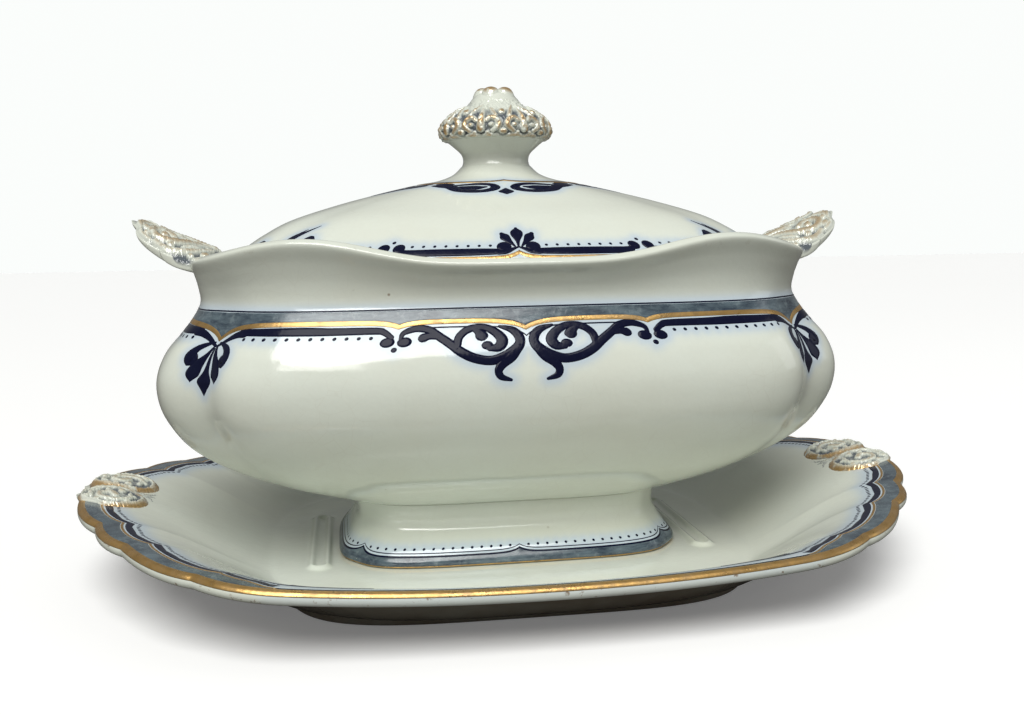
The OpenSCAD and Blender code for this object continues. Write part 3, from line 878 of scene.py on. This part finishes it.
HANDLE_EDGE_Z = 91.6       # height of the outer edges of a tureen handle's lobes
HANDLE_MARKS = [
    [(1.0, 0, 2.6), (6.0, 0, 3.0), (11.0, 0, 2.2), (13.6, 0, 1.2)],
    [(2.0, 2.6, 1.6), (5.2, 5.0, 2.4), (9.4, 9.8, 2.8), (13.6, 11.2, 2.8), (16.6, 8.8, 2.8),
     (16.2, 5.4, 2.6), (13.2, 4.2, 2.4), (11.2, 6.2, 2.6)],
    [(0.8, 8.0, 1.8), (3.6, 12.2, 2.2), (7.6, 15.4, 2.4), (12.2, 15.6, 2.4), (15.2, 13.4, 2.0)],
    [(5.4, 3.4, 1.4), (8.0, 4.0, 2.0), (10.2, 3.2, 1.2)],
    [(4.2, 8.6, 1.6), (6.4, 10.8, 2.0), (8.2, 12.6, 1.4)],
    [(1.6, 4.8, 1.4), (2.2, 7.0, 1.8), (1.4, 9.0, 1.2)],
    bead(13.4, 7.8, 1.5), bead(17.6, 10.8, 1.3), bead(11.2, 13.2, 1.2), bead(2.0, 15.2, 1.4),
    bead(5.6, 17.0, 1.1), bead(9.8, 1.9, 1.0), bead(14.6, 2.2, 1.1), bead(7.2, 7.6, 1.2),
    [(16.4, 2.0, 1.6), (19.2, 4.0, 2.4), (20.4, 7.6, 2.6), (19.6, 11.2, 2.4), (16.8, 13.2, 1.8)],
    bead(18.4, 7.2, 1.2), bead(14.8, 15.4, 1.2)]


def lobe_mask(p, q):
    """1 on either oval lobe of an underplate handle, 0 on the clay between and behind them."""
    rho = np.sqrt(((p - 10.5) / 9.6) ** 2 + ((q - 9.5) / 9.2) ** 2)
    return np.clip((1.08 - rho) * 4, 0, 1)


def dish_ground(dish):
    """Function that gives the height of the dish under flat points, from a fine net on it."""
    w, s = np.meshgrid(np.linspace(0.62, 1, 220), np.linspace(0.3, 1, 170), indexing="ij")
    net = dish.at(w, s, 0.0, DISH_WALL / 3).reshape(-1, 3)
    tree = KDTree(len(net))
    for i, point in enumerate(net):
        tree.insert((point[0], -point[1], 0), i)
    tree.balance()

    def ground(x, y):
        flat = np.stack([x.ravel(), np.abs(y).ravel(), 0 * x.ravel()], -1)
        return np.array([net[tree.find(f)[1]][2] for f in flat]).reshape(x.shape)
    return ground


LOBE_DROP = 0.55           # how far a shell handle's outline falls back at its two sides
LUG_RISE = 0.9             # how far the lobes of an underplate handle stand clear of the dish


def rounded(wave_of_turn, power):
    """Cosine or sine made squarer (power below 1), with its sign kept."""
    return np.sign(wave_of_turn) * np.abs(wave_of_turn) ** power


def shell_handle(name, node, heights, notch, marks, relief, lift, size, ground=None):
    """Two-lobed shell handle: smooth rounded underside and edge, scrolls and beads on top.
    With ground, the shell lies on that surface and only its lobes stand clear of it."""
    low, high = box_mm(node)
    side = 1 if high[0] > 0 else -1
    reach = high[0] if side > 0 else -low[0]
    full, half_width = size
    root_z, tip_z = heights
    u = np.linspace(0, 1, 190)[:, None]
    psi = np.arange(300) * TAU / 300
    v = rounded(np.cos(psi), 0.85)
    face = rounded(np.sin(psi), 0.55)
    edge = 1 - notch * np.exp(-(v / 0.17) ** 2) - LOBE_DROP * np.abs(v) ** 3.4
    edge = edge - 0.03 * np.cos(TAU * 2.2 * np.abs(v)) * (np.abs(v) < 0.9)
    r = u * edge
    x = reach - full + (full - 0.8) * r
    y = half_width * v * (0.93 + 0.07 * np.sin(math.pi * u))
    top_z = root_z + (tip_z - root_z) * r ** 1.5 + lift * (1 - v ** 2) * (0.15 + 0.85 * r)
    round_edge = np.sqrt(np.maximum(0.0, 1 - u ** 10))
    thick = (1.5 + 1.7 * np.maximum(0.0, 1 - r) ** 1.5) * round_edge + 0.02
    p, q = full * r, np.abs(y)
    raised = relief_height(p, q, marks)
    if ground is not None:
        mask = lobe_mask(p, q)
        top_z = ground(x, y) + LUG_RISE * mask - 0.3 + 0.3 * r ** 2 * mask
        thick = 1.7 * round_edge + 0.02
        raised = raised * mask + 0.5 * relief_height(p, q, LUG_STEM) * (1 - mask)
    on_top = np.clip((face + 0.05) * 2.2, 0, 1) * np.clip((1 - u) * 14, 0, 1)
    lump = 0.16 * crumble(p * 1.6, y * 1.6)
    z = top_z - thick + thick * face + on_top * (relief * raised + lump)
    x = x + 0.35 * np.sin(np.abs(y) * 1.5) * (face < 0.3) * (face > -0.7) * r ** 3
    lean = min(0.6, (tip_z - root_z) / full)
    x = x - lean * on_top * relief * raised * 0.8
    turn = slice(None, None, -side)      # the right handle's rings run the other way round
    verts, faces = skin(np.stack([side * x, y, z], -1)[:, turn])
    height = (on_top * raised)[:, turn]
    gilt = np.clip((height - 0.75) * 1.5, 0, 1)
    if ground is not None:
        outline = (4 * mask * (1 - mask)) ** 1.2
        gilt = np.maximum(gilt, outline[:, turn])
    hollow = np.clip(1.1 - height * 1.5, 0, 1) * on_top[:, turn]
    return mesh_object(name, verts, faces, RELIEF,
                       {"gilt": with_caps(gilt), "hollow": with_caps(hollow)})


# ---------- knob ----------
KNOB_PROFILE = [
    (0.00, 0.620), (0.05, 0.590), (0.11, 0.585), (0.18, 0.625), (0.27, 0.760), (0.36, 0.910),
    (0.43, 0.965), (0.50, 0.950), (0.57, 0.895), (0.65, 0.770), (0.72, 0.620), (0.79, 0.480),
    (0.86, 0.400), (0.925, 0.290), (0.95, 0.020)]
KNOB_SECTORS = 8           # repeats of the relief round the knob
KNOB_BUDS = 5              # round buds in the crown


def knob_mesh():
    """Turned knob with a moulded relief band and a crown of buds."""
    radius, height = knob_high[0], knob_high[2] - KNOB_SEAT_Z
    sweep = Sweep([[KNOB_SEAT_Z - 0.2 + z * height, r * radius, r * radius, 2, 0, 0]
                   for z, r in KNOB_PROFILE])
    v = np.linspace(0, sweep.last, 260)[:, None]
    t = (np.arange(420) * TAU / 420)[None, :]
    grid_t, grid_v = t + 0 * v, v + 0 * t
    points, normals = sweep.at(grid_t, grid_v), sweep.normal(grid_t, grid_v)
    sector = TAU / KNOB_SECTORS
    fold = np.abs(np.mod(grid_t, sector) - sector / 2) * radius
    along = (grid_v - 5.0) * 2.3
    marks = [
        [(-0.6, 0, 1.8), (0.2, 2.2, 1.9), (-0.2, 4.4, 1.8), (-1.3, 6.2, 1.4)],
        [(2.2, 0, 2.6), (6.5, 0, 2.2), (10.0, 0, 1.2)],
        [(1.6, 3.4, 1.7), (3.4, 5.0, 2.0), (5.6, 4.6, 2.0), (6.6, 2.8, 1.9), (5.4, 1.6, 1.6)],
        [(7.4, 4.2, 1.6), (9.4, 3.0, 1.7), (11.6, 1.2, 1.2)],
        bead(3.8, 3.0, 0.9), bead(1.4, 6.0, 1.0), bead(8.8, 6.0, 1.0), bead(0.9, 1.9, 0.8)]
    raised = relief_height(along, fold, marks)
    crown = np.zeros_like(raised)
    bud_ring, bud_radius, bud_height = radius * 0.24, 2.4, 1.5
    for a in np.arange(KNOB_BUDS) * TAU / KNOB_BUDS + 0.5:
        gap = ((points[..., 0] - bud_ring * math.cos(a)) ** 2
               + (points[..., 1] - bud_ring * math.sin(a)) ** 2)
        crown = np.maximum(crown, np.sqrt(np.maximum(0, 1 - gap / bud_radius ** 2)) * bud_height)
    crown *= grid_v > 9
    zone = np.clip((grid_v - 4.6) * 1.8, 0, 1) * np.clip((sweep.last - grid_v) * 1.5, 0, 1)
    lump = 0.12 * crumble(points[..., 0] * 1.7, points[..., 2] * 1.7 + grid_t * 3)
    height_map = zone * (0.85 * raised + lump) * (grid_v < 11.5)
    points = points + normals * (height_map * 1.05)[..., None]
    points[..., 2] += crown
    verts, faces = skin(points)
    edge = np.clip((raised - 0.60) * 2.4, 0, 1) * zone + np.clip(crown * 1.6 - 0.9, 0, 1)
    below_crown = np.clip((9.6 - grid_v) * 1.2, 0, 1)
    hollow = np.clip(1.15 - raised * 1.9, 0, 1) * zone * below_crown
    return mesh_object("knob", verts, faces, RELIEF, {
        "gilt": with_caps(np.clip(edge, 0, 1)), "hollow": with_caps(hollow)})


# ---------- underplate ----------
QUARTER_KNOTS = np.array(
    [(0, 1), (0.512, 0.965), (0.676, 0.85), (0.836, 0.60), (0.915, 0.40), (1, 0)])
QUARTER_CONTROLS = np.array(
    [(0.29, 1.0), (0.609, 0.945), (0.763, 0.80), (0.894, 0.545), (0.99, 0.30)])
RIM_SIDE_Z = 16.0          # height of the rim at the middle of the long sides


class Dish:
    """Underplate surface over one quarter: w runs from the middle of the front to the middle
    of the end along the outline, s from the well's edge out to the rim."""

    def __init__(self):
        self.half = np.array([dish_high[0], dish_high[1]])
        self.well = (ring_high[0] + 4, ring_high[1] + 4)
        self.side_z, self.end_z = RIM_SIDE_Z, dish_high[2] - 0.05

    def outline(self, w):
        i = np.clip(np.floor(w * 5).astype(int), 0, 4)
        u = (w * 5 - i)[..., None]
        a, c, b = QUARTER_KNOTS[i], QUARTER_CONTROLS[i], QUARTER_KNOTS[i + 1]
        q = (1 - u) ** 2 * a + 2 * u * (1 - u) * c + u * u * b
        return q * np.array([1, -1])

    def at(self, w, s, drop=0.0, inset=0.0):
        """Point drop below the surface, with the rim drawn in by inset."""
        q = self.outline(w)
        t = np.arctan2(q[..., 1], q[..., 0])
        wx, wy = plan(self.well[0], self.well[1], WELL_SQUARE, t)
        ox = q[..., 0] * (self.half[0] - inset)
        oy = q[..., 1] * (self.half[1] - inset)
        rim = self.side_z + (self.end_z - self.side_z) * np.abs(q[..., 0]) ** 2.2
        x, y = wx + (ox - wx) * s, wy + (oy - wy) * s
        rise = np.sin(math.pi / 2 * np.clip(s, 0, 1)) ** 1.3
        z = WELL_Z + (rim - WELL_Z) * rise - drop
        return np.stack([x, y, z], -1)


class DishTrack:
    """Flat millimetres on the dish: x along the rim from the middle of the front, y inward."""

    def __init__(self, dish):
        self.dish = dish
        self.w = np.linspace(0, 1, 1200)
        edge = self.top(self.w, np.ones(1200))
        self.x = run_length(edge)
        self.length = self.x[-1]
        self.knots = np.interp(np.arange(6) / 5, self.w, self.x)

    def top(self, w, s):
        return self.dish.at(w, s, 0.0, DISH_WALL / 3)

    def where(self, x, y):
        w = np.interp(x, self.x, self.w)
        run = np.linalg.norm(self.top(w, np.ones_like(w)) - self.top(w, 0 * w), axis=-1)
        return w, 1 - y / run

    def place(self, x, y, h):
        w, s = self.where(x, y)
        along = self.top(np.minimum(w + 2e-3, 1), s) - self.top(np.maximum(w - 2e-3, 0), s)
        out = self.top(w, s + 1e-3) - self.top(w, s - 1e-3)
        n = unit(np.cross(along, -out))
        n *= np.where(n[..., 2:] < 0, -1, 1)
        return self.top(w, s) + h[..., None] * n


def whole_ring(quarter):
    """Full counter-clockwise ring from one quarter that runs from the front to the right end."""
    right = quarter * [1, -1, 1]
    return np.vstack([right[::-1][:-1], (right * [-1, 1, 1])[:-1],
                      (quarter * [-1, 1, 1])[::-1][:-1], quarter[:-1]])


def rib(points):
    """Long narrow raised loop in the well beside either end of the tureen's foot."""
    out = points.copy()
    across = np.abs(np.abs(points[..., 0]) - foot_high[0] - 5.2)
    along = np.maximum(np.abs(points[..., 1]) - foot_high[1] + 9.0, 0)
    gap = np.hypot(across, along) - 2.1
    out[..., 2] += 1.0 * np.exp(-(gap / 0.95) ** 2)
    return out


def dish_mesh(dish, samples):
    """Underside, rolled edge, sloping top and well, as one closed skin."""
    w = np.linspace(0, 1, 131)
    one = np.ones_like(w)

    def ring(s, drop, inset=0.0):
        return whole_ring(dish.at(w, s * one, drop, inset))

    def floor(part, drop):
        return ring(0, drop) * [part, part, 1]
    roll, rolled = DISH_WALL / 2, DISH_WALL / 3
    rings = [floor(p, DISH_WALL) for p in (0.1, 0.5, 0.9)] + [ring(0, DISH_WALL)]
    rings += [ring(s, DISH_WALL, rolled) for s in np.linspace(0.06, 0.95, 16)]
    for a in np.radians(np.linspace(-80, 80, 13)):
        rings.append(ring(1, roll - roll * math.sin(a), rolled * 1.2 * (1 - math.cos(a))))
    top = [ring(s, 0, rolled) for s in np.linspace(0.97, 0.02, 44)] + [ring(0, 0)]
    parts = np.r_[np.linspace(0.985, 0.50, 96), 0.4, 0.25, 0.1]
    top += [rib(floor(p, 0)) for p in parts]
    rings = np.array(rings + top)
    verts, faces = skin(rings)
    worn = np.zeros(rings.shape[:2])
    worn[20:34] = 1
    # painted brown shade on the underside, up to where the rolled edge begins
    underside_shade = np.zeros(rings.shape[:2])
    underside_shade[:22] = 0.85
    return mesh_object("underplate", verts, faces, GLAZE, {
        "halo": nearness(verts, samples, 2.6), "worn": with_caps(worn),
        "underside_shade": with_caps(underside_shade)})


def rim_gold(dish):
    """Gold band that wraps the upper half of the rolled edge, all round."""
    w = np.linspace(0, 1, 261)
    roll, rolled = DISH_WALL / 2, DISH_WALL / 3
    rows = []
    for lift, angles in ((GOLD_COAT, np.linspace(22, 84, 11)), (-0.25, np.linspace(84, 22, 11))):
        for a in np.radians(angles):
            inset = rolled * 1.2 * (1 - math.cos(a)) - lift * math.cos(a)
            drop = roll - (roll + lift) * math.sin(a)
            rows.append(whole_ring(dish.at(w, np.ones_like(w), drop, inset)))
    verts, faces = closed_loop(np.array(rows)[::-1])
    return mesh_object("underplate_rim_gilding", verts, faces, GILDING)


def dish_decoration(track):
    """Gold edge all round; wash, inner gold line and beaded print on the canted ends only."""
    k = track.knots
    end = track.length
    x = np.linspace(0, end, 520)
    gold = Layer(track, GOLD_COAT)
    gold.band(x, 0.0, 0.9, 3)
    share = np.clip((x - k[1] - 2) / 12, 0, 1)
    share = share * share * (3 - 2 * share)
    lobes = share * sum(cusp(x, knot, 0.9, 3) for knot in k[2:5])
    wash = Layer(track, WASH_COAT)
    reach = 1.2 + 3.8 * share + lobes
    wash.band(x, 0.8, reach, 5)
    inner_x = np.linspace(k[1] + 2, end, 360)
    inner = np.interp(inner_x, x, reach)
    gold.band(inner_x, inner, inner + 0.75, 3)
    ink = Layer(track, INK_COAT)
    ink.band(np.linspace(0, k[1] + 3, 120), 1.2, 1.9, 2)
    ink_x = np.linspace(k[1] + 4, end, 360)
    near = np.interp(ink_x, x, reach) + 1.15
    swell = 0.35 * np.abs(np.sin(ink_x * 0.42))
    ink.band(ink_x, near, near + 1.9 + swell, 4)
    for edge_x in np.arange(k[1] + 6, end, 1.5):
        edge_y = float(np.interp(edge_x, ink_x, near + 3.3 + swell))
        ink.dot(edge_x, edge_y, 0.42, 0.55)
    ink.stroke([(k[1] + 6, 7.4, 1.3), (k[1] - 1, 7.4, 2.1), (k[1] - 8, 7.0, 2.5),
                (k[1] - 16, 6.0, 0.4)])
    ink.stroke([(k[1] + 5, 9.4, 0.9), (k[1] - 3, 9.9, 1.9), (k[1] - 11, 9.2, 0.3)])
    ink.stroke([(k[1] + 6, 10.9, 0.9), (k[1] + 1, 11.9, 1.5), (k[1] - 4, 12.2, 0.3)])
    return ink, wash, gold


LUG_MARKS = [
    [(10.5, 1.4, 2.0), (4.6, 2.6, 2.2), (2.0, 7.4, 2.2), (3.4, 14.0, 2.2), (9.6, 17.6, 2.2),
     (16.2, 15.0, 2.4), (19.4, 9.6, 2.6), (17.2, 4.0, 2.4), (10.5, 1.4, 2.0)],
    [(6.0, 6.2, 1.6), (5.6, 10.4, 2.0), (8.6, 13.6, 2.2), (12.6, 12.6, 2.2), (13.6, 9.0, 2.2),
     (11.0, 7.2, 2.2), (9.4, 9.4, 2.4)],
    [(14.8, 5.2, 1.4), (16.4, 8.0, 1.8), (15.6, 11.4, 1.4)],
    bead(8.6, 4.6, 1.2), bead(12.2, 4.8, 1.0), bead(5.4, 13.8, 1.1), bead(13.4, 14.6, 1.1),
    bead(16.8, 11.6, 1.0), bead(4.6, 8.4, 0.8), bead(10.2, 15.4, 0.8)]
LUG_STEM = [
    [(1.0, 0, 1.6), (4.0, 0, 2.6), (8.0, 0, 2.0), (14.0, 0, 2.4), (18.0, 0, 1.6)],
    [(3.4, 0.4, 1.2), (1.6, 2.2, 1.6), (0.4, 4.0, 0.8)]]


# ---------- build ----------
AROUND = 400               # points in a ring of the bowl and of the lid


def build_tureen():
    """Bowl, foot and two shell handles."""
    ink, wash, gold = bowl_decoration()
    rings = swept_rings(bowl_full, bowl_steps, AROUND)
    verts, faces = skin(rings)
    halo = nearness(verts, ink.points(), 1.6)
    worn = np.exp(-((verts[:, 2] - RIM_Z) / 1.2) ** 2) * 0.15
    bowl = mesh_object("bowl", verts, faces, GLAZE, {"halo": halo, "worn": worn})
    settle(bowl, "tureen", "glaze", "tureen_bowl")
    settle_coats("bowl", "tureen", ink, wash, gold)

    ink, wash, gold = foot_decoration()
    verts, faces = skin(swept_rings(foot_full, [4] * 3 + [9] * (foot_full.last - 3), 360))
    base = np.exp(-((verts[:, 2] - foot_low[2]) / 0.5) ** 2)
    foot = mesh_object("pedestal_foot", verts, faces, GLAZE, {
        "halo": nearness(verts, ink.points(), 1.8), "worn": base})
    settle(foot, "tureen", "glaze", "tureen_foot")
    settle_coats("foot", "tureen", ink, wash, gold)

    for side in ("left", "right"):
        node = "tureen_handle_" + side
        handle = shell_handle("handle_" + side, node, (RIM_Z - 1.4, HANDLE_EDGE_Z), 0.15,
                              HANDLE_MARKS, 1.3, 8.0, (22.6, handle_high[1]))
        settle(handle, "tureen", "relief_glaze", node)


def build_lid():
    """Domed lid and knob."""
    ink, gold = lid_border()
    crown_ink, crown_gold = lid_crown()
    verts, faces = skin(swept_rings(lid_full, lid_steps, AROUND))
    samples = np.vstack([ink.points(), crown_ink.points()])
    lid = mesh_object("lid", verts, faces, GLAZE, {
        "halo": nearness(verts, samples, 1.6), "worn": np.zeros(len(verts))})
    settle(lid, "lid", "glaze", "lid_shell")
    settle(ink.build("lid_print", PRINT, [crown_ink]), "lid", "cobalt_print")
    settle(gold.build("lid_gilding", GILDING, [crown_gold]), "lid", "gilding")
    settle(knob_mesh(), "lid", "relief_glaze", "lid_knob")


def build_underplate():
    """Dish, foot ring and two shell lugs."""
    dish = Dish()
    track = DishTrack(dish)
    ink, wash, gold = dish_decoration(track)
    settle(dish_mesh(dish, ink.points()), "stand", "glaze", "stand_dish")
    settle_coats("underplate", "stand", ink, wash, gold)
    settle(rim_gold(dish), "stand", "gilding")

    a, b, top = ring_high[0], ring_high[1], ring_high[2]
    rows = [[top, a - 6.5], [top - 0.4, a - 6.0], [1.6, a - 4.9], [0.45, a - 4.4], [0, a - 3.6],
            [0, a - 1.4], [0.45, a - 0.6], [1.6, a - 0.25], [top - 0.4, a - 0.05], [top, a]]
    ring = Sweep([[z, r, r - a + b, FOOT_SQUARE, 0, 0] for z, r in rows])
    rings = swept_rings(ring, [4] * ring.last, 300)
    verts, faces = closed_loop(rings)
    # the foot ring is painted in brown shade all over
    foot_ring = mesh_object("underplate_foot_ring", verts, faces, GLAZE, {
        "halo": np.zeros(len(verts)), "worn": np.exp(-(verts[:, 2] / 0.7) ** 2),
        "underside_shade": np.full(len(verts), 1.0)})
    settle(foot_ring, "stand", "glaze", "stand_foot_ring")

    for side in ("left", "right"):
        node = "stand_handle_" + side
        lug = shell_handle("underplate_handle_" + side, node, (dish_high[2], dish_high[2]),
                           0.16, LUG_MARKS, 1.0, 0.6, (21.0, 20.0), dish_ground(dish))
        settle(lug, "stand", "relief_glaze", node)


def closed_loop(rings):
    """Ring-shaped solid: the last row of points joins back to the first."""
    rows, cols = rings.shape[:2]
    verts = rings.reshape(-1, 3)
    faces = loop_faces(rows, cols).tolist()
    for i in range(cols):
        j = (i + 1) % cols
        faces.append([(rows - 1) * cols + i, (rows - 1) * cols + j, j, i])
    return verts, faces


# ---------- stage, light, camera ----------
def floor_material():
    """Pale floor: near white with a slight glow to the camera, and much darker in what it throws
    back onto the glaze."""
    n = Nodes("pale_floor")
    pale = n.mix(n.cloud(3, 3, 0.5, 0.3, 0.7, 0.0, 0.15), (0.95, 0.95, 0.95), (0.92, 0.92, 0.92))
    camera_ray = n.add("ShaderNodeLightPath").outputs["Is Camera Ray"]
    glow = n.math("MULTIPLY", camera_ray, 0.14)
    return n.finish(n.mix(camera_ray, (0.13, 0.125, 0.115), pale), 0.8,
                    Emission_Color=(1.0, 1.0, 1.0), Emission_Strength=glow)


def area_light(name, place, target, size, watts, colour):
    data = bpy.data.lights.new(name, "AREA")
    data.shape = "RECTANGLE"
    data.size, data.size_y = size
    data.energy = watts
    data.color = colour
    lamp = bpy.data.objects.new(name, data)
    lamp.location = place
    lamp.rotation_euler = (Vector(target) - Vector(place)).to_track_quat("-Z", "Y").to_euler()
    bpy.context.scene.collection.objects.link(lamp)


def build_floor():
    """Large pale floor just under the rest plane."""
    size = 4.0
    mesh = bpy.data.meshes.new("floor")
    mesh.from_pydata([(-size, -size, 0), (size, -size, 0), (size, size, 0), (-size, size, 0)],
                     [], [(0, 1, 2, 3)])
    mesh.materials.append(floor_material())
    floor = bpy.data.objects.new("floor", mesh)
    floor.location.z = -0.0002
    bpy.context.scene.collection.objects.link(floor)


def build_world():
    """Pale surroundings: near white to the camera, dimmer as a source of light."""
    world = bpy.data.worlds.new("studio")
    world.use_nodes = True
    nodes, links = world.node_tree.nodes, world.node_tree.links
    background = nodes["Background"]
    background.inputs[0].default_value = (0.98, 1.0, 0.985, 1.0)
    level = nodes.new("ShaderNodeMapRange")
    level.inputs["To Min"].default_value = 0.22
    level.inputs["To Max"].default_value = 0.985
    rays = nodes.new("ShaderNodeLightPath")
    links.new(rays.outputs["Is Camera Ray"], level.inputs["Value"])
    links.new(level.outputs[0], background.inputs[1])
    bpy.context.scene.world = world


def build_lights():
    """Small window in front on the left, weak fill from the right, broad light from above the front."""
    target = (0, 0, 0.07)
    area_light("window", (-0.35, -0.80, 0.62), target, (0.42, 0.20), 1.2, (1.0, 0.98, 0.94))
    area_light("side", (0.9, -0.15, 0.35), target, (0.4, 0.5), 0.5, (0.93, 0.96, 1.0))
    sky = bpy.data.lights.new("sky", "SUN")
    sky.energy = 2.7
    sky.angle = math.radians(42)
    sky.color = (1.0, 1.0, 0.98)
    dome = bpy.data.objects.new("sky", sky)
    dome.rotation_euler = (math.radians(35), math.radians(-12), 0)
    bpy.context.scene.collection.objects.link(dome)


def photo_camera():
    """Close, nearly level camera a little left of the front, tipped and rolled."""
    azimuth, elevation, distance = math.radians(-8.0), math.radians(5.82), 316.6
    pan, tilt, roll = math.radians(-0.67), math.radians(-0.38), math.radians(1.05)
    target = Vector((0, 0, 60.0))
    place = target + distance * Vector((math.sin(azimuth) * math.cos(elevation),
                                        -math.cos(azimuth) * math.cos(elevation),
                                        math.sin(elevation)))
    ahead = (target - place).normalized()
    right = ahead.cross(Vector((0, 0, 1))).normalized()
    up = right.cross(ahead)
    turn = Matrix.Rotation(pan, 3, up)
    ahead, right = turn @ ahead, turn @ right
    tip = Matrix.Rotation(tilt, 3, right)
    ahead, up = tip @ ahead, tip @ up
    spin = Matrix.Rotation(roll, 3, ahead)
    right, up = spin @ right, spin @ up
    data = bpy.data.cameras.new("camera")
    data.sensor_width = 36.0
    data.lens = 38.03
    data.clip_start = 0.01
    camera = bpy.data.objects.new("camera", data)
    facing = Matrix((right, up, -ahead)).transposed().to_4x4()
    camera.matrix_world = Matrix.Translation(place * MM) @ facing
    bpy.context.scene.collection.objects.link(camera)
    bpy.context.scene.camera = camera


build_underplate()
build_tureen()
build_lid()
build_floor()
build_world()
build_lights()
photo_camera()

bpy.context.scene.view_settings.view_transform = "Standard"
